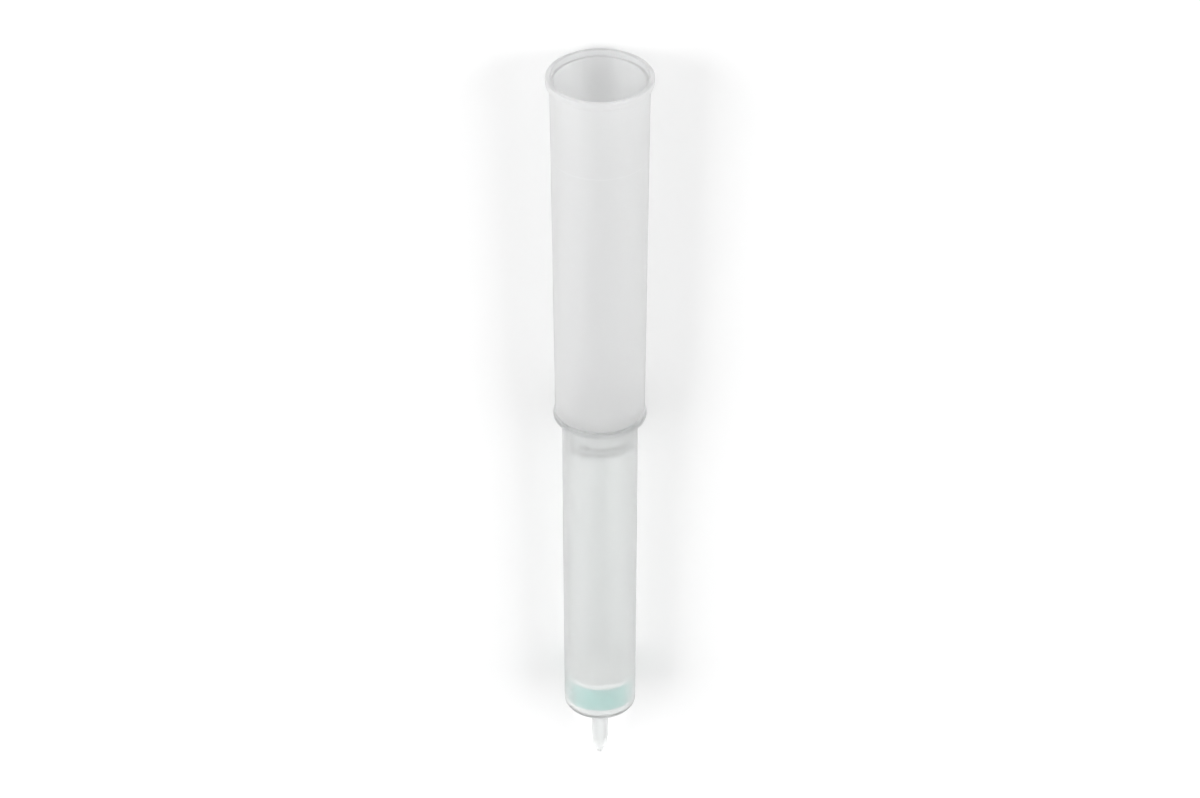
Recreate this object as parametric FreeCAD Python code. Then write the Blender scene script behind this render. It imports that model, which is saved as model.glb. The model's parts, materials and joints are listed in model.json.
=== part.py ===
# A gravity flow chromatography column: a drafted polypropylene barrel with a hanging flange and a
# sealed nozzle, two porous frits, the resin bed packed between them, and the tall buffer reservoir
# that is pushed into the barrel's mouth. Every piece is turned about the column's own axis, from the
# nozzle's tip at height 0 up to the reservoir's rim, and then laid on its side as it comes to rest.
# Millimetres and degrees. +Z is up, the mouth points to +X, and the origin is on the floor under the
# middle of the whole.
import FreeCAD, Part
import math
import os
from FreeCAD import Placement, Rotation, Vector

# Nozzle, with the closed tip that is cut off before use
nozzle_length = 15.0
nozzle_root_radius = 2.12
nozzle_neck_radius = 1.93
nozzle_neck_length = 6.0
nozzle_root_fillet = 0.5
nub_radius = 0.68
nub_length = 0.8
tip_cone_length = 1.5
tip_radius = 1.72
tip_length = 4.4
tip_step_length = 0.35
outlet_root_radius = 1.2
outlet_end_radius = 0.95
outlet_blind_height = 3.0

# Barrel
barrel_length = 84.7
barrel_bottom_radius = 8.5
barrel_top_radius = 8.85
collar_length = 17.0
barrel_wall = 1.25
barrel_corner = 1.8
floor_thickness = 1.2
frit_seat_width = 0.9
collecting_depth = 0.45

# Hanging flange and mouth
flange_radius = 10.9
flange_thickness = 1.2
flange_edge = 0.3
flange_root_fillet = 0.4
lead_in_width = 0.4
lead_in_depth = 0.4

# Frits and resin bed
bottom_frit_thickness = 1.5
top_frit_thickness = 1.5
bed_height = 6.0
frit_edge = 0.15
packing_clearance = 0.03

# Buffer reservoir
reservoir_length = 90.8
reservoir_bottom_radius = 10.5
reservoir_top_radius = 11.55
reservoir_wall = 1.0
reservoir_corner = 0.9
shoulder_thickness = 1.1
shoulder_rise = 0.9
inner_corner = 1.3
ring_depth_below_rim = 20.7
ring_step = 0.12
rim_radius = 12.45
rim_height = 1.95
rim_lower_edge = 0.5
rim_upper_edge = 0.3
rim_recess_depth = 1.45
rim_lip_width = 1.1

# Spigot of the reservoir, with its sealing ribs
spigot_length = 9.6
spigot_wall = 1.05
spigot_play = 0.25
spigot_chamfer = 0.5
spigot_root_fillet = 0.3
rib_count = 2
first_rib_depth = 6.4
rib_pitch = 1.5
rib_width = 0.7
rib_clearance = 0.03

# Weights of the materials, in grams for each cubic millimetre
polypropylene = 0.000905
porous_frit = 0.00062
wet_resin = 0.00105

# How far the column is rolled about its own axis, so that it doesn't lie on the turned faces' seams
seam_roll = 45

barrel_bottom = nozzle_length
flange_top = barrel_bottom + barrel_length
flange_bottom = flange_top - flange_thickness
collar_bottom = flange_bottom - collar_length
nozzle_neck_top = tip_length + tip_step_length + nozzle_neck_length
floor_top = barrel_bottom + floor_thickness
bed_bottom = floor_top + bottom_frit_thickness
bed_top = bed_bottom + bed_height
frit_top = bed_top + top_frit_thickness
rim_top = flange_top + reservoir_length
rim_bottom = rim_top - rim_height


def drafted(height, low, high):
    """The radius at a height on a straight drafted wall between two (radius, height) points."""
    share = (height - low[1]) / (high[1] - low[1])
    return low[0] + share * (high[0] - low[0])


def barrel_radius(height):
    """Drafted up to the collar that fills a rack's hole, which is straight up to the flange."""
    if height >= collar_bottom:
        return barrel_top_radius
    return drafted(height, (barrel_bottom_radius, barrel_bottom), (barrel_top_radius, collar_bottom))


def bore_radius(height):
    return barrel_radius(height) - barrel_wall


def reservoir_radius(height):
    return drafted(height, (reservoir_bottom_radius, flange_top), (reservoir_top_radius, rim_top))


def corner_arc(before, corner, after, radius):
    """Start, middle, end and centre of the arc that rounds a corner, no longer than its sides allow."""
    into = (corner - before).normalize()
    out = (after - corner).normalize()
    half_turn = into.getAngle(out) / 2
    room = 0.48 * min((corner - before).Length, (after - corner).Length)
    radius = min(radius, room / math.tan(half_turn))
    reach = radius * math.tan(half_turn)
    inward = (out - into).normalize()
    centre = corner + inward * (radius / math.cos(half_turn))
    return corner - into * reach, centre - inward * radius, corner + out * reach, centre, radius


def turned(outline):
    """The solid that a closed outline makes when it is turned about the column's axis.

    The outline is a list of (radius, height) or (radius, height, rounding) points, in order.
    """
    points = [Vector(p[0], 0, p[1]) for p in outline]
    roundings = [p[2] if len(p) > 2 else 0 for p in outline]
    count = len(points)
    starts, ends, arcs = [], [], []
    for i, rounding in enumerate(roundings):
        if rounding > 0:
            start, middle, end, _, _ = corner_arc(points[i - 1], points[i], points[(i + 1) % count], rounding)
            arcs.append(Part.Arc(start, middle, end).toShape())
        else:
            start = end = points[i]
            arcs.append(None)
        starts.append(start)
        ends.append(end)
    edges = []
    for i in range(count):
        if arcs[i]:
            edges.append(arcs[i])
        edges.append(Part.LineSegment(ends[i], starts[(i + 1) % count]).toShape())
    face = Part.Face(Part.Wire(edges))
    return face.revolve(Vector(0, 0, 0), Vector(0, 0, 1), 360)


def make_barrel():
    mouth = flange_top - lead_in_depth
    return turned([
        (0, 0),
        (nub_radius, 0, 0.3),
        (nub_radius, nub_length, 0.15),
        (tip_radius, nub_length + tip_cone_length, 0.4),
        (tip_radius, tip_length),
        (nozzle_neck_radius, tip_length + tip_step_length),
        (nozzle_neck_radius, nozzle_neck_top),
        (nozzle_root_radius, barrel_bottom, nozzle_root_fillet),
        (barrel_bottom_radius, barrel_bottom, barrel_corner),
        (barrel_top_radius, collar_bottom),
        (barrel_top_radius, flange_bottom, flange_root_fillet),
        (flange_radius, flange_bottom, flange_edge),
        (flange_radius, flange_top, flange_edge),
        (bore_radius(mouth) + lead_in_width, flange_top, 0.2),
        (bore_radius(mouth), mouth),
        (bore_radius(collar_bottom), collar_bottom),
        (bore_radius(floor_top), floor_top),
        (bore_radius(floor_top) - frit_seat_width, floor_top),
        (outlet_root_radius, floor_top - collecting_depth, 0.3),
        (outlet_end_radius, outlet_blind_height),
        (0, outlet_blind_height),
    ])


def make_frit(bottom, thickness):
    radius = bore_radius(bottom) - packing_clearance
    return turned([
        (0, bottom),
        (radius, bottom, frit_edge),
        (radius, bottom + thickness, frit_edge),
        (0, bottom + thickness),
    ])


def make_resin_bed():
    return turned([
        (0, bed_bottom),
        (bore_radius(bed_bottom) - packing_clearance, bed_bottom),
        (bore_radius(bed_top) - packing_clearance, bed_top),
        (0, bed_top),
    ])


def sealing_ribs(spigot_radius):
    """Outline points of the round ribs, from the lowest up."""
    points = []
    for i in reversed(range(rib_count)):
        height = flange_top - first_rib_depth - i * rib_pitch
        crest = bore_radius(height - rib_width / 2) - rib_clearance
        points += [
            (spigot_radius, height - rib_width / 2),
            (crest, height - rib_width / 5, 0.15),
            (crest, height + rib_width / 5, 0.15),
            (spigot_radius, height + rib_width / 2),
        ]
    return points


def make_reservoir():
    spigot_end = flange_top - spigot_length
    spigot_radius = bore_radius(spigot_end) - spigot_play
    spigot_bore = spigot_radius - spigot_wall
    ring = rim_top - ring_depth_below_rim
    ledge = rim_top - rim_recess_depth
    floor_edge = flange_top + shoulder_thickness + shoulder_rise
    return turned([
        (spigot_bore, spigot_end, 0.2),
        (spigot_radius - spigot_chamfer, spigot_end, 0.15),
        (spigot_radius, spigot_end + spigot_chamfer, 0.15),
        *sealing_ribs(spigot_radius),
        (spigot_radius, flange_top, spigot_root_fillet),
        (reservoir_bottom_radius, flange_top, reservoir_corner),
        (reservoir_radius(rim_bottom), rim_bottom, 0.25),
        (rim_radius, rim_bottom, rim_lower_edge),
        (rim_radius, rim_top, rim_upper_edge),
        (rim_radius - rim_lip_width, rim_top, 0.2),
        (rim_radius - rim_lip_width, ledge, 0.15),
        (reservoir_radius(ledge) - reservoir_wall + ring_step, ledge, 0.2),
        (reservoir_radius(ring) - reservoir_wall + ring_step, ring),
        (reservoir_radius(ring) - reservoir_wall, ring - ring_step),
        (reservoir_radius(floor_edge) - reservoir_wall, floor_edge, inner_corner),
        (spigot_bore, flange_top + shoulder_thickness, 0.5),
    ])


def support_circles():
    """The three rounded edges that can touch the floor, each as (height, radius) of its arc's centre
    and the arc's own radius, from the lowest up."""
    corners = [
        ((nozzle_root_radius, barrel_bottom), (barrel_bottom_radius, barrel_bottom),
         (barrel_top_radius, collar_bottom), barrel_corner),
        ((barrel_top_radius, flange_bottom), (flange_radius, flange_bottom),
         (flange_radius, flange_top), flange_edge),
        ((reservoir_radius(rim_bottom), rim_bottom), (rim_radius, rim_bottom),
         (rim_radius, rim_top), rim_lower_edge),
    ]
    circles = []
    for before, corner, after, rounding in corners:
        places = [Vector(p[0], 0, p[1]) for p in (before, corner, after)]
        _, _, _, centre, radius = corner_arc(*places, rounding)
        circles.append((centre.z, centre.x, radius))
    return circles


def balance_height(weights):
    """Height of the centre of mass on the column's axis."""
    total = sum(shape.Volume * weight for shape, weight in weights)
    return sum(shape.Volume * weight * shape.CenterOfMass.z for shape, weight in weights) / total


def resting_place(weights):
    """The placement that lays the upright column on the two circles its weight falls between."""
    bottom_edge, flange, rim = support_circles()
    if balance_height(weights) < flange[0]:
        low, high = bottom_edge, flange
    else:
        low, high = flange, rim
    run = high[0] - low[0]
    climb = high[1] - low[1]
    tilt = math.atan2(climb, run) - math.asin((low[2] - high[2]) / math.hypot(run, climb))
    lift = low[2] + low[1] * math.cos(tilt) - low[0] * math.sin(tilt)
    axis = Vector(math.cos(tilt), 0, math.sin(tilt))
    rolled = Rotation(Vector(0, 0, 1), seam_roll)
    place = Placement(Vector(0, 0, lift), Rotation(Vector(0, 0, 1), axis) * rolled)
    outer = Part.makeCompound([shape for shape, _ in weights])
    outer.Placement = place
    box = outer.optimalBoundingBox(False, False)
    place.Base.x = -box.Center.x
    return place


pieces = {
    "barrel": (make_barrel(), polypropylene),
    "bottom_frit": (make_frit(floor_top, bottom_frit_thickness), porous_frit),
    "resin_bed": (make_resin_bed(), wet_resin),
    "top_frit": (make_frit(bed_top, top_frit_thickness), porous_frit),
    "buffer_reservoir": (make_reservoir(), polypropylene),
}
place = resting_place(list(pieces.values()))
os.makedirs("parts", exist_ok=True)
for name, (shape, _) in pieces.items():
    shape.Placement = place
    shape.exportStep("parts/" + name + ".step")
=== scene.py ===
import bpy
import json
import math
from bpy.props import FloatProperty, FloatVectorProperty, IntProperty, PointerProperty
from bpy.types import Operator, Panel, PropertyGroup
from mathutils import Matrix, Vector


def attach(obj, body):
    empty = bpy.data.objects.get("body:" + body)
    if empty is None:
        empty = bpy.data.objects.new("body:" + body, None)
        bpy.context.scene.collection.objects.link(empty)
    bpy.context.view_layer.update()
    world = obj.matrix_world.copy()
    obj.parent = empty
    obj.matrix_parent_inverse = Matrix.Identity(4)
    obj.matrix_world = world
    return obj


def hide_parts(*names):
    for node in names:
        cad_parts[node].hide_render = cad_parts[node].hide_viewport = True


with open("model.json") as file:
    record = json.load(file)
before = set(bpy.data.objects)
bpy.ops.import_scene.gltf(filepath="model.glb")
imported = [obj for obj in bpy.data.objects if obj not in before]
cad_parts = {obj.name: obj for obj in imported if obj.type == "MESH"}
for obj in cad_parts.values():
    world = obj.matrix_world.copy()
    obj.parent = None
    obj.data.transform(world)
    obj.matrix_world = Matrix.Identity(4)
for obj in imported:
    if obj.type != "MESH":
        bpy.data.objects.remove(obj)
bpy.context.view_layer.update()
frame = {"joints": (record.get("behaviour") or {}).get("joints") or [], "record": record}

bl_info = {
    "name": "Gravity flow column",
    "version": (1, 0, 0),
    "blender": (4, 5, 0),
    "location": "View3D > Sidebar > Column",
    "description": "Builds a packed gravity flow column with its buffer reservoir, lying on a white table",
    "category": "Object",
}

MM = 0.001

# Where the column lies: its own axis from the nozzle's tip to the reservoir's mouth, as the frame has it
AXIS = Vector(frame["joints"][0]["axis"]).normalized()
MOUTH_MOUNT = next(mount for mount in frame["record"]["mounts"] if mount["name"] == "reservoir_mouth")

# Photograph's frame, and where its camera stands: along the axis from the tip, and out from the axis
PICTURE_SIZE = (1200, 798)
CAMERA_ALONG = 0.921
CAMERA_OUT = 1.2225
SENSOR_WIDTH = 36.0

# The soft lamps stand on both sides of the column's middle: ahead of it, to its side and above it
LAMP_AHEAD = 0.1
LAMP_ASIDE = 0.62
LAMP_ABOVE = 0.42
LAMP_SIZE = 0.6

TABLE_SIZE = 8.0

# Outlines: points closer than WELD are one, and a picked point lies within PICK of its place. A point
# stands HOLD from each rounding, and no run is longer than LONGEST_RUN, or PACKING_RUN on the discs and bed.
# A large rounding gets more steps, and none takes up more than ROUNDING_SHARE of the run beside it.
WELD = 1e-6
PICK = 2e-6
HOLD = 0.2 * MM
LONGEST_RUN = 9 * MM
PACKING_RUN = 1.5 * MM
LARGE_ROUNDING = 0.4 * MM
ROUNDING_SHARE = 0.48
SMOOTH_ANGLE = math.radians(32)

# Half width and factor of the painted light on the reservoir's base colour: a painted highlight line along
# the fine inner ring, and painted shade bands where the sealing ribs meet the barrel's bore, standing for
# what shows through the milky wall
RING_PAINTED_HIGHLIGHT = (0.16 * MM, 1.05)
RIB_PAINTED_SHADE = (0.4 * MM, 0.55)

COAT_ROUGHNESS = 0.28

# Share of its brightness that the white room keeps when it is seen through plastic
ROOM_THROUGH_PLASTIC = 0.78


def length(label, words, millimetres):
    """A size that a user can change, shown in the scene's unit of length."""
    return FloatProperty(name=label, description=words, default=millimetres * MM, min=0.0,
                         precision=5, unit="LENGTH", subtype="DISTANCE")


def share(label, words, value):
    """A setting between 0 and 1."""
    return FloatProperty(name=label, description=words, default=value, min=0.0, max=1.0, subtype="FACTOR")


def colour(label, words, rgb):
    """A surface colour."""
    return FloatVectorProperty(name=label, description=words, default=rgb, min=0.0, max=1.0,
                               size=3, subtype="COLOR")


def power(label, words, watts):
    """A lamp's power, in watts."""
    return FloatProperty(name=label, description=words, default=watts, min=0.0, unit="POWER")


class BarrelSizes(PropertyGroup):
    nozzle_length: length("Nozzle length", "From the tip of the nozzle to the underside of the barrel", 15.0)
    nozzle_radius: length("Nozzle radius", "Outside radius of the nozzle's straight neck", 1.93)
    nozzle_root_radius: length("Nozzle root radius", "Outside radius where the nozzle meets the barrel", 2.12)
    tip_radius: length("Tip radius", "Radius of the sealed end that is cut off before use", 1.72)
    tip_length: length("Tip length", "Length of the sealed end", 4.4)
    length: length("Barrel length", "From the underside of the barrel to the top of its flange", 84.7)
    bottom_radius: length("Bottom radius", "Outside radius at the foot of the drafted wall", 8.5)
    top_radius: length("Collar radius", "Outside radius of the straight collar under the flange", 8.85)
    collar_length: length("Collar length", "Straight part of the wall under the flange", 17.0)
    wall: length("Wall", "Thickness of the barrel's wall", 1.25)
    corner: length("Bottom corner", "Rounding of the barrel's lower edge", 1.8)
    floor: length("Floor", "Thickness of the barrel's floor", 1.2)
    flange_radius: length("Flange radius", "Radius of the flange that hangs in a rack", 10.9)
    flange_thickness: length("Flange thickness", "Thickness of the hanging flange", 1.2)


class PackingSizes(PropertyGroup):
    frit_thickness: length("Frit thickness", "Thickness of each porous disc", 1.5)
    bed_height: length("Bed height", "Height of the packed resin bed", 6.0)
    clearance: length("Clearance", "Gap between the packing and the barrel's bore", 0.03)
    frit_edge: length("Frit edge", "Rounding of the porous discs", 0.15)


class ReservoirSizes(PropertyGroup):
    length: length("Reservoir length", "From the shoulder that rests on the flange to the rim", 90.8)
    bottom_radius: length("Bottom radius", "Outside radius at the shoulder", 10.5)
    top_radius: length("Top radius", "Outside radius of the drafted wall at the rim", 11.55)
    wall: length("Wall", "Thickness of the reservoir's wall", 1.0)
    ring_depth: length("Ring depth", "Depth below the rim of the fine ring inside the wall", 20.7)
    rim_radius: length("Rim radius", "Outside radius of the rolled rim", 12.45)
    rim_height: length("Rim height", "Height of the rim", 1.95)
    recess_depth: length("Recess depth", "Depth of the step inside the mouth", 1.45)
    lip_width: length("Lip width", "Width of the rim's top face", 1.1)
    spigot_length: length("Spigot length", "Length of the spigot that plugs into the barrel", 9.6)
    spigot_wall: length("Spigot wall", "Thickness of the spigot's wall", 1.05)
    rib_depth: length("First rib depth", "Depth of the upper sealing rib below the shoulder", 6.4)
    rib_pitch: length("Rib pitch", "Distance between the two sealing ribs", 1.5)


class Finishes(PropertyGroup):
    barrel_colour: colour("Barrel", "Natural polypropylene of the barrel", (0.93, 0.943, 0.939))
    barrel_clearness: share("Barrel clearness", "How much of the light goes through the barrel's wall", 0.86)
    reservoir_colour: colour("Reservoir", "Milky polypropylene of the reservoir", (0.945, 0.95, 0.951))
    reservoir_clearness: share("Reservoir clearness", "How much of the light goes through its wall", 0.66)
    frit_colour: colour("Frit", "Porous polyethylene of the discs", (0.975, 0.975, 0.97))
    resin_colour: colour("Resin", "Wet beads of the packed bed", (0.35, 0.73, 0.67))


class StageSettings(PropertyGroup):
    fill: share("Fill", "Share of the picture's height that the column takes up", 0.88)
    table_colour: colour("Table", "White table that the column lies on", (0.9, 0.9, 0.9))
    daylight: share("Daylight", "Strength of the even light all round", 0.5)
    left_lamp: power("Left lamp", "Power of the soft lamp on the left, in watts", 3.8)
    right_lamp: power("Right lamp", "Power of the soft lamp on the right, in watts", 3.3)


class ColumnSettings(PropertyGroup):
    barrel: PointerProperty(type=BarrelSizes)
    packing: PointerProperty(type=PackingSizes)
    reservoir: PointerProperty(type=ReservoirSizes)
    finishes: PointerProperty(type=Finishes)
    stage: PointerProperty(type=StageSettings)
    steps: IntProperty(name="Steps round", description="Number of faces round each turned piece",
                       default=192, min=24, max=256)


# Heights above the nozzle's tip, worked out from the sizes

def floor_top(sizes):
    return sizes.barrel.nozzle_length + sizes.barrel.floor


def bed_bottom(sizes):
    return floor_top(sizes) + sizes.packing.frit_thickness


def bed_top(sizes):
    return bed_bottom(sizes) + sizes.packing.bed_height


def flange_top(sizes):
    return sizes.barrel.nozzle_length + sizes.barrel.length


def rim_top(sizes):
    return flange_top(sizes) + sizes.reservoir.length


def drafted(height, low, high):
    """Radius at a height on a straight drafted wall between two (radius, height) points."""
    part = (height - low[1]) / (high[1] - low[1])
    return low[0] + part * (high[0] - low[0])


def bore_radius(sizes, height):
    """Radius of the barrel's bore, which is drafted up to the collar and straight inside it."""
    barrel = sizes.barrel
    collar_bottom = flange_top(sizes) - barrel.flange_thickness - barrel.collar_length
    if height >= collar_bottom:
        return barrel.top_radius - barrel.wall
    foot = (barrel.bottom_radius, barrel.nozzle_length)
    return drafted(height, foot, (barrel.top_radius, collar_bottom)) - barrel.wall


def reservoir_radius(sizes, height):
    """Radius at a height on the outside of the reservoir's drafted wall."""
    foot = (sizes.reservoir.bottom_radius, flange_top(sizes))
    return drafted(height, foot, (sizes.reservoir.top_radius, rim_top(sizes)))


def tip_place(sizes):
    """Where the nozzle's tip lies: back along the axis from the mount in the reservoir's mouth."""
    mouth_height = rim_top(sizes) - sizes.reservoir.recess_depth / 2
    return Vector(MOUTH_MOUNT["pos_m"]) - AXIS * mouth_height


# Modelling, as by hand: an outline is drawn corner by corner, rounded, spun and laid down

def corner_reach(before, corner, after, rounding):
    """How far from its corner a rounding starts, and the angle that it turns through."""
    into = (corner - before).normalized()
    out = (after - corner).normalized()
    turn = into.angle(out)
    room = ROUNDING_SHARE * min((corner - before).length, (after - corner).length)
    return min(rounding * math.tan(turn / 2), room), turn


def run_points(start, end, start_reach, end_reach, longest):
    """Points between two corners: one close to each rounding, and more along a long run."""
    run = (end - start).length
    along = (end - start) / run
    first = start_reach + HOLD
    last = run - end_reach - HOLD
    if last - first < HOLD:
        return []
    count = max(1, math.ceil((last - first) / longest))
    return [start + along * (first + (last - first) * i / count) for i in range(count + 1)]


def select_point(piece, place):
    """Selects the outline's point that lies at this place, and nothing else."""
    bpy.ops.object.mode_set(mode="OBJECT")
    for edge in piece.data.edges:
        edge.select = False
    for point in piece.data.vertices:
        point.select = (point.co - place).length < PICK
    bpy.ops.object.mode_set(mode="EDIT")


def draw_outline(name, places):
    """A new object whose mesh is one line through these places, drawn by extruding a point."""
    bpy.ops.object.select_all(action="DESELECT")
    bpy.ops.mesh.primitive_plane_add(size=MM)
    piece = bpy.context.object
    piece.name = name
    piece.data.name = name
    bpy.ops.object.mode_set(mode="EDIT")
    bpy.ops.mesh.select_mode(type="VERT")
    bpy.ops.mesh.select_all(action="SELECT")
    bpy.ops.mesh.merge(type="CENTER")
    bpy.ops.transform.translate(value=places[0])
    for here, there in zip(places, places[1:]):
        bpy.ops.mesh.extrude_vertices_move(TRANSFORM_OT_translate={"value": there - here})
    return piece


def turn_piece(name, corners, sizes, closed=False, longest=LONGEST_RUN):
    """A piece turned about the column's axis from its outline's (radius, height, rounding) corners.

    A closed outline is a ring that doesn't touch the axis; an open one starts and ends on the axis.
    """
    points = [Vector((corner[0], 0, corner[1])) for corner in corners]
    roundings = [corner[2] if len(corner) > 2 else 0 for corner in corners]
    count = len(points)
    reaches = []
    for i, rounding in enumerate(roundings):
        if rounding > 0:
            reaches.append(corner_reach(points[i - 1], points[i], points[(i + 1) % count], rounding))
        else:
            reaches.append((0, 0))
    places = []
    for i in range(count if closed else count - 1):
        after = (i + 1) % count
        places.append(points[i])
        places += run_points(points[i], points[after], reaches[i][0], reaches[after][0], longest)
    places.append(points[0] if closed else points[-1])

    piece = draw_outline(name, places)
    if closed:
        bpy.ops.mesh.select_all(action="SELECT")
        bpy.ops.mesh.remove_doubles(threshold=WELD)
    for point, rounding, (reach, turn) in zip(points, roundings, reaches):
        if rounding > 0:
            right_angle_segments = 9 if rounding > LARGE_ROUNDING else 6
            segments = max(3, round(right_angle_segments * turn / math.radians(90)))
            select_point(piece, point)
            bpy.ops.mesh.bevel(offset=reach, offset_type="OFFSET", segments=segments, profile=0.5,
                               affect="VERTICES")
    bpy.ops.mesh.select_all(action="SELECT")
    bpy.ops.mesh.spin(steps=sizes.steps, angle=2 * math.pi, center=(0, 0, 0), axis=(0, 0, 1))
    bpy.ops.mesh.select_all(action="SELECT")
    bpy.ops.mesh.remove_doubles(threshold=WELD)
    bpy.ops.mesh.normals_make_consistent(inside=False)
    bpy.ops.object.mode_set(mode="OBJECT")
    return piece


def lay_down(piece, sizes):
    """Turns the upright piece onto the column's resting axis and keeps that place in its mesh."""
    turn = Vector((0, 0, 1)).rotation_difference(AXIS).to_matrix().to_4x4()
    piece.matrix_world = Matrix.Translation(tip_place(sizes)) @ turn
    bpy.ops.object.select_all(action="DESELECT")
    piece.select_set(True)
    bpy.context.view_layer.objects.active = piece
    bpy.ops.object.transform_apply(location=True, rotation=True, scale=True)
    bpy.ops.object.shade_smooth_by_angle(angle=SMOOTH_ANGLE)


def finish_piece(piece, body, node, material):
    """Gives a piece its finish and its body, and hides the CAD node that it stands for."""
    piece.data.materials.clear()
    piece.data.materials.append(material)
    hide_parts(node)
    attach(piece, body)


# Materials: the shared effects are node groups, the shaders stay in each material

def set_sockets(node, values):
    """Sets the plain values of a node's sockets by their names or numbers."""
    for name, value in values.items():
        node.inputs[name].default_value = value


def toned(rgb, factor=1.0):
    """A colour made darker or lighter by a factor, with the fourth number that a socket wants."""
    return (*[min(1.0, c * factor) for c in rgb], 1)


def add_node(tree, kind, place, **values):
    """A shader node at a place on the canvas, with its settings and its sockets' plain values."""
    node = tree.nodes.new(kind)
    node.location = place
    sockets = values.pop("sockets", {})
    for name, value in values.items():
        setattr(node, name, value)
    set_sockets(node, sockets)
    return node


def new_group(name, inputs, outputs):
    """An empty shader node group with named number or vector inputs and outputs."""
    group = bpy.data.node_groups.new(name, "ShaderNodeTree")
    for label, kind, value in inputs:
        socket = group.interface.new_socket(name=label, in_out="INPUT", socket_type=kind)
        if value is not None:
            socket.default_value = value
    for label, kind in outputs:
        group.interface.new_socket(name=label, in_out="OUTPUT", socket_type=kind)
    return group, group.nodes.new("NodeGroupInput"), group.nodes.new("NodeGroupOutput")


def moulded_skin():
    """Skin of a polished moulding: slow waves, cloudy thickness, faint flow lines and fine scuffs."""
    name = "Moulded skin"
    if name in bpy.data.node_groups:
        return bpy.data.node_groups[name]
    group, into, out = new_group(
        name,
        [("Vector", "NodeSocketVector", None), ("Wave Depth", "NodeSocketFloat", 0.03),
         ("Scuffs", "NodeSocketFloat", 0.5)],
        [("Height", "NodeSocketFloat"), ("Cloud", "NodeSocketFloat"), ("Grain", "NodeSocketFloat"),
         ("Scuff", "NodeSocketFloat")])
    into.location = (-900, 0)
    out.location = (900, 0)
    link = group.links.new
    along = add_node(group, "ShaderNodeMapping", (-650, 300), sockets={"Scale": (1.0, 1.0, 0.22)})
    wave = add_node(group, "ShaderNodeTexNoise", (-400, 300),
                    sockets={"Scale": 170.0, "Detail": 1.5, "Roughness": 0.4})
    grain = add_node(group, "ShaderNodeTexNoise", (-400, 60),
                     sockets={"Scale": 5200.0, "Detail": 2.0, "Roughness": 0.6})
    cloud = add_node(group, "ShaderNodeTexNoise", (-400, -180),
                     sockets={"Scale": 130.0, "Detail": 4.0, "Roughness": 0.55})
    drawn = add_node(group, "ShaderNodeMapping", (-650, -420),
                     sockets={"Rotation": (0.5, 0.35, 0.0), "Scale": (1.0, 1.0, 0.035)})
    lines = add_node(group, "ShaderNodeTexNoise", (-400, -420),
                     sockets={"Scale": 2600.0, "Detail": 2.0, "Roughness": 0.7})
    thin = add_node(group, "ShaderNodeMapRange", (-180, -420),
                    sockets={"From Min": 0.66, "From Max": 0.78, "To Min": 0.0, "To Max": 1.0})
    patches = add_node(group, "ShaderNodeMapRange", (-180, -180),
                       sockets={"From Min": 0.45, "From Max": 0.7, "To Min": 0.0, "To Max": 1.0})
    worn = add_node(group, "ShaderNodeMath", (60, -420), operation="MULTIPLY")
    scuff = add_node(group, "ShaderNodeMath", (280, -420), operation="MULTIPLY")
    high = add_node(group, "ShaderNodeMath", (60, 300), operation="MULTIPLY")
    link(into.outputs["Vector"], along.inputs["Vector"])
    link(along.outputs["Vector"], wave.inputs["Vector"])
    link(into.outputs["Vector"], grain.inputs["Vector"])
    link(into.outputs["Vector"], cloud.inputs["Vector"])
    link(into.outputs["Vector"], drawn.inputs["Vector"])
    link(drawn.outputs["Vector"], lines.inputs["Vector"])
    link(lines.outputs["Fac"], thin.inputs["Value"])
    link(cloud.outputs["Fac"], patches.inputs["Value"])
    link(thin.outputs["Result"], worn.inputs[0])
    link(patches.outputs["Result"], worn.inputs[1])
    link(worn.outputs["Value"], scuff.inputs[0])
    link(into.outputs["Scuffs"], scuff.inputs[1])
    link(wave.outputs["Fac"], high.inputs[0])
    link(into.outputs["Wave Depth"], high.inputs[1])
    link(high.outputs["Value"], out.inputs["Height"])
    link(grain.outputs["Fac"], out.inputs["Grain"])
    link(cloud.outputs["Fac"], out.inputs["Cloud"])
    link(scuff.outputs["Value"], out.inputs["Scuff"])
    return group


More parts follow.
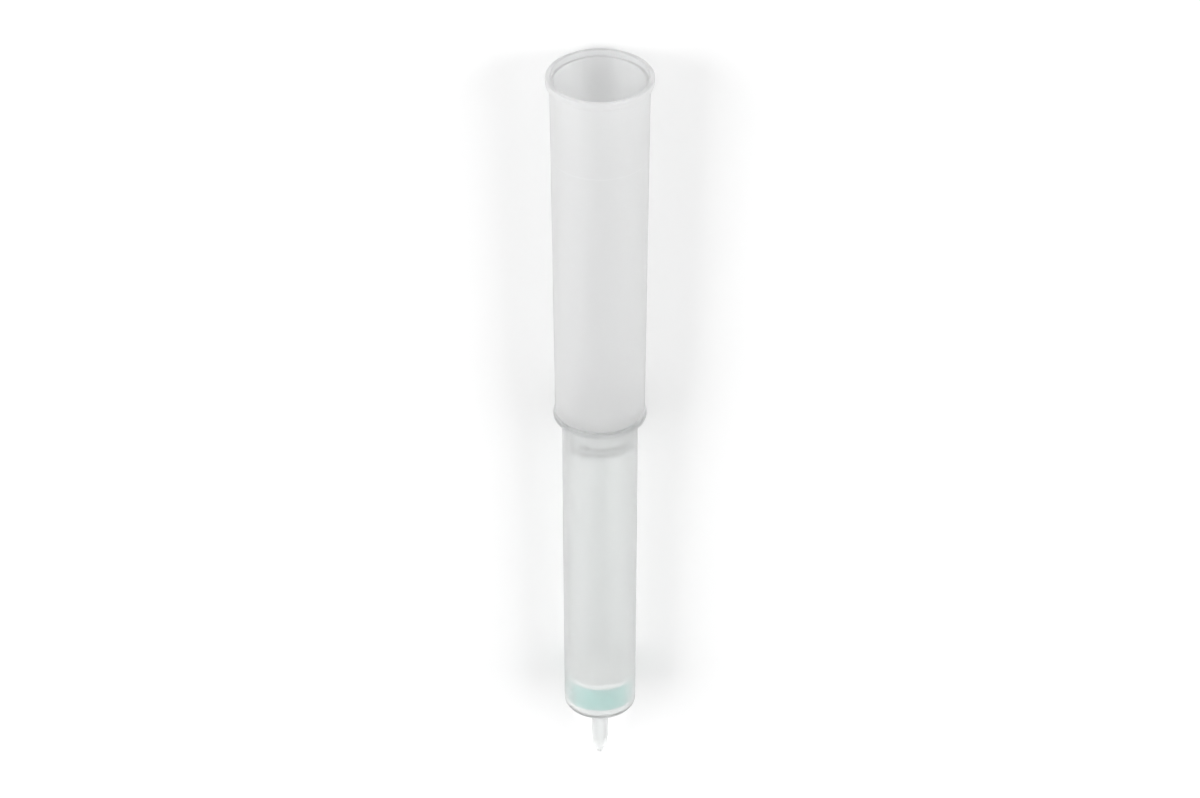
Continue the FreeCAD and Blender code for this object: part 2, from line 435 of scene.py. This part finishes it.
def packed_grains():
    """Small round grains pressed together, with dark gaps, for sintered discs and for wet beads."""
    name = "Packed grains"
    if name in bpy.data.node_groups:
        return bpy.data.node_groups[name]
    group, into, out = new_group(
        name,
        [("Vector", "NodeSocketVector", None), ("Grains per Metre", "NodeSocketFloat", 5000.0),
         ("Roundness", "NodeSocketFloat", 1.0)],
        [("Height", "NodeSocketFloat"), ("Gap", "NodeSocketFloat"), ("Tone", "NodeSocketFloat")])
    into.location = (-700, 0)
    out.location = (700, 0)
    link = group.links.new
    cells = add_node(group, "ShaderNodeTexVoronoi", (-450, 200), feature="F1",
                     sockets={"Randomness": 0.85})
    edges = add_node(group, "ShaderNodeTexVoronoi", (-450, -100), feature="DISTANCE_TO_EDGE",
                     sockets={"Randomness": 0.85})
    dome = add_node(group, "ShaderNodeMath", (-200, 240), operation="MULTIPLY")
    crown = add_node(group, "ShaderNodeMath", (20, 240), operation="SUBTRACT", sockets={0: 1.0})
    gap = add_node(group, "ShaderNodeMapRange", (-200, -100),
                   sockets={"From Min": 0.0, "From Max": 0.12, "To Min": 1.0, "To Max": 0.0})
    tone = add_node(group, "ShaderNodeSeparateColor", (-200, 40))
    link(into.outputs["Vector"], cells.inputs["Vector"])
    link(into.outputs["Vector"], edges.inputs["Vector"])
    link(into.outputs["Grains per Metre"], cells.inputs["Scale"])
    link(into.outputs["Grains per Metre"], edges.inputs["Scale"])
    link(cells.outputs["Distance"], dome.inputs[0])
    link(into.outputs["Roundness"], dome.inputs[1])
    link(dome.outputs["Value"], crown.inputs[1])
    link(crown.outputs["Value"], out.inputs["Height"])
    link(edges.outputs["Distance"], gap.inputs["Value"])
    link(gap.outputs["Result"], out.inputs["Gap"])
    link(cells.outputs["Color"], tone.inputs["Color"])
    link(tone.outputs["Red"], out.inputs["Tone"])
    return group


def new_material(name):
    """A material with its shader, and the piece's own coordinates turned so that Z runs along the column."""
    material = bpy.data.materials.new(name)
    material.use_nodes = True
    tree = material.node_tree
    tree.nodes.clear()
    output = add_node(tree, "ShaderNodeOutputMaterial", (700, 0))
    shader = add_node(tree, "ShaderNodeBsdfPrincipled", (400, 0))
    tree.links.new(shader.outputs["BSDF"], output.inputs["Surface"])
    place = add_node(tree, "ShaderNodeTexCoord", (-1100, 0))
    turn = Vector((0, 0, 1)).rotation_difference(AXIS).to_euler()
    column = add_node(tree, "ShaderNodeMapping", (-900, 0), vector_type="TEXTURE", sockets={"Rotation": turn})
    tree.links.new(place.outputs["Object"], column.inputs["Vector"])
    return material, tree, shader, column.outputs["Vector"]


def let_lamps_through(tree, shader, passed):
    """Light from the lamps passes a surface in this share, and softly lights what is behind it."""
    output = next(node for node in tree.nodes if node.type == "OUTPUT_MATERIAL")
    output.location = (1100, 0)
    path = add_node(tree, "ShaderNodeLightPath", (650, 300))
    open_wall = add_node(tree, "ShaderNodeBsdfTransparent", (650, -150),
                         sockets={"Color": (passed, passed, passed, 1)})
    either = add_node(tree, "ShaderNodeMixShader", (880, 0))
    tree.links.new(path.outputs["Is Shadow Ray"], either.inputs["Fac"])
    tree.links.new(shader.outputs["BSDF"], either.inputs[1])
    tree.links.new(open_wall.outputs["BSDF"], either.inputs[2])
    tree.links.new(either.outputs["Shader"], output.inputs["Surface"])


def plastic(name, colour, clearness, roughness, rougher, wave_depth, cloudiness, scatter, passed, gloss):
    """Natural polypropylene: part of the light goes through, the rest is scattered as in milk glass.

    Neither the surface nor its coat is smoother than 0.28, because the denoiser looks through sharper
    ones, and leaves blotches and ragged edges where it does so in one place and not in the next.
    """
    material, tree, shader, vector = new_material(name)
    let_lamps_through(tree, shader, passed)
    link = tree.links.new
    skin = add_node(tree, "ShaderNodeGroup", (-650, 0), node_tree=moulded_skin(),
                    sockets={"Wave Depth": wave_depth, "Scuffs": 0.5})
    link(vector, skin.inputs["Vector"])
    tint = add_node(tree, "ShaderNodeMix", (-350, 200), data_type="RGBA",
                    sockets={"A": toned(colour, 1 - cloudiness), "B": toned(colour, 1 + cloudiness)})
    link(skin.outputs["Cloud"], tint.inputs["Factor"])
    link(tint.outputs["Result"], shader.inputs["Base Color"])
    rough = add_node(tree, "ShaderNodeMapRange", (-350, -60),
                     sockets={"From Min": 0.3, "From Max": 0.7, "To Min": roughness, "To Max": rougher})
    speckle = add_node(tree, "ShaderNodeMath", (-250, -200), operation="MULTIPLY_ADD", sockets={1: 0.03})
    marks = add_node(tree, "ShaderNodeMath", (-100, -60), operation="MULTIPLY_ADD", use_clamp=True,
                     sockets={1: 0.25})
    link(skin.outputs["Cloud"], rough.inputs["Value"])
    link(skin.outputs["Scuff"], marks.inputs[0])
    link(skin.outputs["Grain"], speckle.inputs[0])
    link(rough.outputs["Result"], speckle.inputs[2])
    link(speckle.outputs["Value"], marks.inputs[2])
    link(marks.outputs["Value"], shader.inputs["Roughness"])
    bump = add_node(tree, "ShaderNodeBump", (-100, -300), sockets={"Strength": 1.0, "Distance": MM})
    link(skin.outputs["Height"], bump.inputs["Height"])
    link(bump.outputs["Normal"], shader.inputs["Normal"])
    set_sockets(shader, {
        "IOR": 1.49, "Transmission Weight": clearness,
        "Coat Weight": gloss, "Coat Roughness": COAT_ROUGHNESS, "Coat IOR": 1.5,
        "Subsurface Weight": scatter, "Subsurface Radius": (1.0, 1.0, 1.0), "Subsurface Scale": 2.0 * MM,
    })
    return material


def paint_ring_highlight_and_shade(material, rings):
    """Painted highlight and shade in fine rings round a turned wall, multiplied into its base colour: each is
    (place along the axis, half width, factor).
    """
    tree = material.node_tree
    shader = next(node for node in tree.nodes if node.type == "BSDF_PRINCIPLED")
    column = next(node for node in tree.nodes if node.type == "MAPPING")
    split = add_node(tree, "ShaderNodeSeparateXYZ", (-650, 700))
    tree.links.new(column.outputs["Vector"], split.inputs["Vector"])
    before = shader.inputs["Base Color"].links[0].from_socket
    # A factor above 1 paints a highlight line, and a factor below 1 paints a shade band
    for i, (along, half_width, factor) in enumerate(rings):
        line = add_node(tree, "ShaderNodeMath", (-400 + 220 * i, 700), operation="COMPARE",
                        sockets={1: along, 2: half_width})
        ring = add_node(tree, "ShaderNodeMix", (-200 + 220 * i, 500), data_type="RGBA", blend_type="MULTIPLY",
                        clamp_result=True, sockets={"B": (factor, factor, factor, 1)})
        tree.links.new(split.outputs["Z"], line.inputs[0])
        tree.links.new(line.outputs["Value"], ring.inputs["Factor"])
        tree.links.new(before, ring.inputs["A"])
        before = ring.outputs["Result"]
    tree.links.new(before, shader.inputs["Base Color"])


def porous_disc(colour):
    """Sintered white polyethylene: fused grains with fine pores between them."""
    material, tree, shader, vector = new_material("Porous disc")
    link = tree.links.new
    grains = add_node(tree, "ShaderNodeGroup", (-650, 0), node_tree=packed_grains(),
                      sockets={"Grains per Metre": 4200.0, "Roundness": 0.8})
    link(vector, grains.inputs["Vector"])
    mottle = add_node(tree, "ShaderNodeTexNoise", (-650, -250), sockets={"Scale": 700.0, "Detail": 3.0})
    link(vector, mottle.inputs["Vector"])
    tint = add_node(tree, "ShaderNodeMix", (-350, 250), data_type="RGBA",
                    sockets={"A": toned(colour, 0.96), "B": toned(colour)})
    pores = add_node(tree, "ShaderNodeMix", (-100, 250), data_type="RGBA", sockets={"B": toned(colour, 0.72)})
    link(mottle.outputs["Fac"], tint.inputs["Factor"])
    link(tint.outputs["Result"], pores.inputs["A"])
    link(grains.outputs["Gap"], pores.inputs["Factor"])
    link(pores.outputs["Result"], shader.inputs["Base Color"])
    rough = add_node(tree, "ShaderNodeMapRange", (-350, -60), sockets={"To Min": 0.75, "To Max": 0.95})
    link(grains.outputs["Tone"], rough.inputs["Value"])
    link(rough.outputs["Result"], shader.inputs["Roughness"])
    bump = add_node(tree, "ShaderNodeBump", (-100, -250), sockets={"Strength": 0.8, "Distance": 0.1 * MM})
    link(grains.outputs["Height"], bump.inputs["Height"])
    link(bump.outputs["Normal"], shader.inputs["Normal"])
    set_sockets(shader, {"Subsurface Weight": 0.25, "Subsurface Radius": (1.0, 1.0, 1.0),
                         "Subsurface Scale": 0.6 * MM})
    return material


def wet_beads(colour):
    """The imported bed: fine wet beads in faint layers, each bead with its own tone."""
    material, tree, shader, vector = new_material("Wet resin beads")
    link = tree.links.new
    grains = add_node(tree, "ShaderNodeGroup", (-650, 0), node_tree=packed_grains(),
                      sockets={"Grains per Metre": 8500.0, "Roundness": 1.0})
    link(vector, grains.inputs["Vector"])
    flat = add_node(tree, "ShaderNodeMapping", (-850, -300), sockets={"Scale": (1.0, 1.0, 3.0)})
    layers = add_node(tree, "ShaderNodeTexNoise", (-650, -300),
                      sockets={"Scale": 260.0, "Detail": 4.0, "Roughness": 0.6})
    link(vector, flat.inputs["Vector"])
    link(flat.outputs["Vector"], layers.inputs["Vector"])
    bead = add_node(tree, "ShaderNodeMix", (-350, 250), data_type="RGBA",
                    sockets={"A": toned(colour, 0.88), "B": toned(colour, 1.1)})
    paler = [c + (0.9 - c) * 0.22 for c in colour]
    cloud = add_node(tree, "ShaderNodeMix", (-130, 250), data_type="RGBA", sockets={"B": toned(paler)})
    gaps = add_node(tree, "ShaderNodeMix", (90, 250), data_type="RGBA", sockets={"B": toned(colour, 0.7)})
    link(grains.outputs["Tone"], bead.inputs["Factor"])
    link(bead.outputs["Result"], cloud.inputs["A"])
    link(layers.outputs["Fac"], cloud.inputs["Factor"])
    link(cloud.outputs["Result"], gaps.inputs["A"])
    link(grains.outputs["Gap"], gaps.inputs["Factor"])
    link(gaps.outputs["Result"], shader.inputs["Base Color"])
    rough = add_node(tree, "ShaderNodeMapRange", (-350, -60), sockets={"To Min": 0.3, "To Max": 0.5})
    link(grains.outputs["Tone"], rough.inputs["Value"])
    link(rough.outputs["Result"], shader.inputs["Roughness"])
    bump = add_node(tree, "ShaderNodeBump", (-100, -250), sockets={"Strength": 0.7, "Distance": 0.05 * MM})
    link(grains.outputs["Height"], bump.inputs["Height"])
    link(bump.outputs["Normal"], shader.inputs["Normal"])
    set_sockets(shader, {"Subsurface Weight": 0.3, "Subsurface Radius": (0.8, 1.0, 1.0),
                         "Subsurface Scale": 0.8 * MM})
    return material


def seen_directly(tree, place):
    """1 for rays that show the surface, straight or mirrored, somewhat less through plastic, 0 for light.

    A ray that has gone through plastic counts as a glossy ray too.
    """
    path = add_node(tree, "ShaderNodeLightPath", place)
    seen = add_node(tree, "ShaderNodeMath", (place[0] + 200, place[1]), operation="MAXIMUM")
    through = add_node(tree, "ShaderNodeMath", (place[0] + 200, place[1] - 180), operation="MULTIPLY_ADD",
                       sockets={1: ROOM_THROUGH_PLASTIC - 1.0, 2: 1.0})
    level = add_node(tree, "ShaderNodeMath", (place[0] + 400, place[1]), operation="MULTIPLY")
    tree.links.new(path.outputs["Is Camera Ray"], seen.inputs[0])
    tree.links.new(path.outputs["Is Glossy Ray"], seen.inputs[1])
    tree.links.new(path.outputs["Is Transmission Ray"], through.inputs[0])
    tree.links.new(seen.outputs["Value"], level.inputs[0])
    tree.links.new(through.outputs["Value"], level.inputs[1])
    return level.outputs["Value"]


def white_table(colour):
    """Matt white table: it keeps the shadow, and reads as white where nothing shades it.

    What is seen of it directly is lifted, and the more the farther it lies from the column.
    """
    material = bpy.data.materials.new("White table")
    material.use_nodes = True
    tree = material.node_tree
    tree.nodes.clear()
    link = tree.links.new
    output = add_node(tree, "ShaderNodeOutputMaterial", (700, 0))
    shader = add_node(tree, "ShaderNodeBsdfPrincipled", (400, 0),
                      sockets={"Base Color": toned(colour), "Roughness": 0.9, "Specular IOR Level": 0.1,
                               "Emission Color": (1, 1, 1, 1)})
    place = add_node(tree, "ShaderNodeTexCoord", (-700, -500))
    away = add_node(tree, "ShaderNodeVectorMath", (-500, -500), operation="LENGTH")
    whiter = add_node(tree, "ShaderNodeMapRange", (-300, -500), interpolation_type="SMOOTHSTEP",
                      sockets={"From Min": 0.15, "From Max": 1.0, "To Min": 0.12, "To Max": 0.75})
    lift = add_node(tree, "ShaderNodeMath", (150, -200), operation="MULTIPLY")
    link(place.outputs["Object"], away.inputs[0])
    link(away.outputs["Value"], whiter.inputs["Value"])
    link(seen_directly(tree, (-500, -200)), lift.inputs[0])
    link(whiter.outputs["Result"], lift.inputs[1])
    link(lift.outputs["Value"], shader.inputs["Emission Strength"])
    link(shader.outputs["BSDF"], output.inputs["Surface"])
    return material


class COLUMN_OT_barrel(Operator):
    """Turn the barrel with its flange, its nozzle and the sealed tip"""
    bl_idname = "column.barrel"
    bl_label = "Barrel"

    def execute(self, context):
        sizes = context.scene.gravity_column
        barrel = sizes.barrel
        foot = barrel.nozzle_length
        top = flange_top(sizes)
        under_flange = top - barrel.flange_thickness
        collar = under_flange - barrel.collar_length
        inside = floor_top(sizes)
        lead_in = 0.4 * MM
        mouth = top - lead_in
        stub_radius, stub_length = 0.68 * MM, 0.8 * MM
        cone_top = 2.3 * MM
        neck_bottom = barrel.tip_length + 0.35 * MM
        neck_top = neck_bottom + 6.0 * MM
        hollow_margin, hollow_depth = 0.9 * MM, 0.45 * MM
        outlet_top_radius, outlet_end_radius, outlet_end = 1.2 * MM, 0.95 * MM, 3.0 * MM
        corners = [
            (0, 0),
            (stub_radius, 0, 0.3 * MM),
            (stub_radius, stub_length, 0.15 * MM),
            (barrel.tip_radius, cone_top, 0.4 * MM),
            (barrel.tip_radius, barrel.tip_length, 0.1 * MM),
            (barrel.nozzle_radius, neck_bottom, 0.1 * MM),
            (barrel.nozzle_radius, neck_top),
            (barrel.nozzle_root_radius, foot, 0.5 * MM),
            (barrel.bottom_radius, foot, barrel.corner),
            (barrel.top_radius, collar),
            (barrel.top_radius, under_flange, 0.4 * MM),
            (barrel.flange_radius, under_flange, 0.3 * MM),
            (barrel.flange_radius, top, 0.3 * MM),
            (bore_radius(sizes, mouth) + lead_in, top, 0.2 * MM),
            (bore_radius(sizes, mouth), mouth, 0.1 * MM),
            (bore_radius(sizes, collar), collar),
            (bore_radius(sizes, inside), inside, 0.08 * MM),
            (bore_radius(sizes, inside) - hollow_margin, inside, 0.08 * MM),
            (outlet_top_radius, inside - hollow_depth, 0.3 * MM),
            (outlet_end_radius, outlet_end, 0.15 * MM),
            (0, outlet_end),
        ]
        piece = turn_piece("barrel_moulding", corners, sizes)
        lay_down(piece, sizes)
        finishes = sizes.finishes
        material = plastic("Barrel plastic", finishes.barrel_colour, finishes.barrel_clearness,
                           roughness=0.28, rougher=0.34, wave_depth=0.01, cloudiness=0.012,
                           scatter=0.6, passed=0.5, gloss=0.55)
        finish_piece(piece, "column", "barrel", material)
        return {"FINISHED"}


class COLUMN_OT_frits(Operator):
    """Turn the two porous discs that hold the bed"""
    bl_idname = "column.frits"
    bl_label = "Porous discs"

    def execute(self, context):
        sizes = context.scene.gravity_column
        packing = sizes.packing
        material = porous_disc(sizes.finishes.frit_colour)
        for name, node, bottom in (("bottom_disc", "bottom_frit", floor_top(sizes)),
                                   ("top_disc", "top_frit", bed_top(sizes))):
            radius = bore_radius(sizes, bottom) - packing.clearance
            top = bottom + packing.frit_thickness
            edge = packing.frit_edge
            corners = [(0, bottom), (radius, bottom, edge), (radius, top, edge), (0, top)]
            piece = turn_piece(name, corners, sizes, longest=PACKING_RUN)
            lay_down(piece, sizes)
            finish_piece(piece, "column", node, material)
        return {"FINISHED"}


class COLUMN_OT_resin_bed(Operator):
    """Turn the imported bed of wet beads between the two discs"""
    bl_idname = "column.resin_bed"
    bl_label = "Resin bed"

    def execute(self, context):
        sizes = context.scene.gravity_column
        bottom, top = bed_bottom(sizes), bed_top(sizes)
        clearance = sizes.packing.clearance
        corners = [(0, bottom), (bore_radius(sizes, bottom) - clearance, bottom),
                   (bore_radius(sizes, top) - clearance, top), (0, top)]
        piece = turn_piece("bead_bed", corners, sizes, longest=PACKING_RUN)
        lay_down(piece, sizes)
        finish_piece(piece, "column", "resin_bed", wet_beads(sizes.finishes.resin_colour))
        return {"FINISHED"}


class COLUMN_OT_reservoir(Operator):
    """Turn the buffer reservoir with its stepped rim and the ribbed spigot that seals in the barrel"""
    bl_idname = "column.reservoir"
    bl_label = "Buffer reservoir"

    def execute(self, context):
        sizes = context.scene.gravity_column
        tube = sizes.reservoir
        shoulder = flange_top(sizes)
        top = rim_top(sizes)
        under_rim = top - tube.rim_height
        spigot_end = shoulder - tube.spigot_length
        spigot_clearance, rib_clearance = 0.25 * MM, 0.03 * MM
        spigot = bore_radius(sizes, spigot_end) - spigot_clearance
        passage = spigot - tube.spigot_wall
        chamfer = 0.5 * MM
        upper_rib = shoulder - tube.rib_depth
        lower_rib = upper_rib - tube.rib_pitch
        rib_foot, rib_crest = 0.35 * MM, 0.14 * MM
        ring = top - tube.ring_depth
        ring_step = 0.12 * MM
        ledge = top - tube.recess_depth
        floor_edge = shoulder + 2.0 * MM
        floor_middle = shoulder + 1.1 * MM
        corners = [
            (passage, spigot_end, 0.2 * MM),
            (spigot - chamfer, spigot_end, 0.15 * MM),
            (spigot, spigot_end + chamfer, 0.15 * MM),
        ]
        for height in (lower_rib, upper_rib):
            crest = bore_radius(sizes, height) - rib_clearance
            corners += [
                (spigot, height - rib_foot, 0.05 * MM),
                (crest, height - rib_crest, 0.15 * MM),
                (crest, height + rib_crest, 0.15 * MM),
                (spigot, height + rib_foot, 0.05 * MM),
            ]
        corners += [
            (spigot, shoulder, 0.3 * MM),
            (tube.bottom_radius, shoulder, 0.9 * MM),
            (reservoir_radius(sizes, under_rim), under_rim, 0.25 * MM),
            (tube.rim_radius, under_rim, 0.5 * MM),
            (tube.rim_radius, top, 0.3 * MM),
            (tube.rim_radius - tube.lip_width, top, 0.2 * MM),
            (tube.rim_radius - tube.lip_width, ledge, 0.15 * MM),
            (reservoir_radius(sizes, ledge) - tube.wall + ring_step, ledge, 0.2 * MM),
            (reservoir_radius(sizes, ring) - tube.wall + ring_step, ring, 0.05 * MM),
            (reservoir_radius(sizes, ring) - tube.wall, ring - ring_step, 0.05 * MM),
            (reservoir_radius(sizes, floor_edge) - tube.wall, floor_edge, 1.3 * MM),
            (passage, floor_middle, 0.5 * MM),
        ]
        piece = turn_piece("reservoir_moulding", corners, sizes, closed=True)
        lay_down(piece, sizes)
        finishes = sizes.finishes
        material = plastic("Reservoir plastic", finishes.reservoir_colour, finishes.reservoir_clearness,
                           roughness=0.29, rougher=0.38, wave_depth=0.02, cloudiness=0.015,
                           scatter=0.8, passed=0.3, gloss=0.55)
        tip = tip_place(sizes).dot(AXIS)
        # Painted highlight along the fine inner ring and painted shade bands at the two sealing ribs, in the
        # base colour
        paint_ring_highlight_and_shade(material, [
            (tip + ring, *RING_PAINTED_HIGHLIGHT),
            (tip + upper_rib, *RIB_PAINTED_SHADE),
            (tip + lower_rib, *RIB_PAINTED_SHADE),
        ])
        finish_piece(piece, "reservoir", "buffer_reservoir", material)
        return {"FINISHED"}


class COLUMN_OT_stage(Operator):
    """Set up the white table, the even light, the soft lamps and the camera"""
    bl_idname = "column.stage"
    bl_label = "Table, light and camera"

    def execute(self, context):
        sizes = context.scene.gravity_column
        stage = sizes.stage
        self.lay_table(stage)
        self.light_world(context.scene, stage)
        tip = tip_place(sizes)
        middle = tip + AXIS * rim_top(sizes) * 0.5
        for name, side, watts in (("Left lamp", 1, stage.left_lamp), ("Right lamp", -1, stage.right_lamp)):
            place = middle + Vector((LAMP_AHEAD, side * LAMP_ASIDE, LAMP_ABOVE))
            self.hang_lamp(name, place, middle, watts)
        self.place_camera(context.scene, sizes, tip)
        context.scene.view_settings.view_transform = "Standard"
        return {"FINISHED"}

    def lay_table(self, stage):
        bpy.ops.object.select_all(action="DESELECT")
        bpy.ops.mesh.primitive_plane_add(size=TABLE_SIZE)
        table = bpy.context.object
        table.name = "table"
        bpy.ops.object.mode_set(mode="EDIT")
        bpy.ops.mesh.select_all(action="SELECT")
        bpy.ops.mesh.subdivide(number_cuts=3)
        bpy.ops.object.mode_set(mode="OBJECT")
        table.data.materials.append(white_table(stage.table_colour))

    def light_world(self, scene, stage):
        world = bpy.data.worlds.new("White room")
        world.use_nodes = True
        scene.world = world
        tree = world.node_tree
        tree.nodes.clear()
        output = add_node(tree, "ShaderNodeOutputWorld", (600, 0))
        room = add_node(tree, "ShaderNodeBackground", (350, 0), sockets={"Color": (1, 1, 1, 1)})
        level = add_node(tree, "ShaderNodeMapRange", (100, 0),
                         sockets={"To Min": stage.daylight, "To Max": 1.0})
        tree.links.new(seen_directly(tree, (-600, 0)), level.inputs["Value"])
        tree.links.new(level.outputs["Result"], room.inputs["Strength"])
        tree.links.new(room.outputs["Background"], output.inputs["Surface"])

    def hang_lamp(self, name, place, target, watts):
        bpy.ops.object.light_add(type="AREA", location=place)
        lamp = bpy.context.object
        lamp.name = name
        lamp.data.shape = "SQUARE"
        lamp.data.size = LAMP_SIZE
        lamp.data.energy = watts
        lamp.rotation_euler = (target - place).to_track_quat("-Z", "Y").to_euler()
        lamp.visible_camera = False

    def place_camera(self, scene, sizes, tip):
        outward = (Vector((0, 0, 1)) - AXIS * AXIS.z).normalized()
        eye = tip + AXIS * CAMERA_ALONG + outward * CAMERA_OUT
        low = (tip - eye).normalized()
        rim = tip + AXIS * rim_top(sizes) - outward * sizes.reservoir.rim_radius
        high = (rim - eye).normalized()
        look = (low + high).normalized()
        up = (AXIS - look * AXIS.dot(look)).normalized()
        right = look.cross(up)
        turn = Matrix((right, up, -look)).transposed().to_4x4()
        bpy.ops.object.camera_add()
        camera = bpy.context.object
        camera.name = "Camera"
        camera.matrix_world = Matrix.Translation(eye) @ turn
        camera.data.sensor_width = SENSOR_WIDTH
        half_height = SENSOR_WIDTH * PICTURE_SIZE[1] / PICTURE_SIZE[0] / 2
        camera.data.lens = sizes.stage.fill * half_height / math.tan(look.angle(low))
        camera.data.clip_start = 0.05
        camera.data.clip_end = 50.0
        scene.camera = camera


class COLUMN_PT_panel(Panel):
    """Sizes, finishes and steps of the column"""
    bl_label = "Gravity flow column"
    bl_space_type = "VIEW_3D"
    bl_region_type = "UI"
    bl_category = "Column"

    def draw(self, context):
        sizes = context.scene.gravity_column
        self.layout.prop(sizes, "steps")
        for group, operators in (
            (sizes.barrel, ("column.barrel",)),
            (sizes.packing, ("column.frits", "column.resin_bed")),
            (sizes.reservoir, ("column.reservoir",)),
            (sizes.finishes, ()),
            (sizes.stage, ("column.stage",)),
        ):
            box = self.layout.box()
            for name in group.__annotations__:
                box.prop(group, name)
            for operator in operators:
                box.operator(operator)


CLASSES = (BarrelSizes, PackingSizes, ReservoirSizes, Finishes, StageSettings, ColumnSettings,
           COLUMN_OT_barrel, COLUMN_OT_frits, COLUMN_OT_resin_bed, COLUMN_OT_reservoir, COLUMN_OT_stage,
           COLUMN_PT_panel)


def register():
    for cls in CLASSES:
        bpy.utils.register_class(cls)
    bpy.types.Scene.gravity_column = PointerProperty(type=ColumnSettings)


def unregister():
    del bpy.types.Scene.gravity_column
    for cls in reversed(CLASSES):
        bpy.utils.unregister_class(cls)


def main():
    register()
    bpy.ops.column.barrel()
    bpy.ops.column.frits()
    bpy.ops.column.resin_bed()
    bpy.ops.column.reservoir()
    bpy.ops.column.stage()


if __name__ == "__main__":
    main()
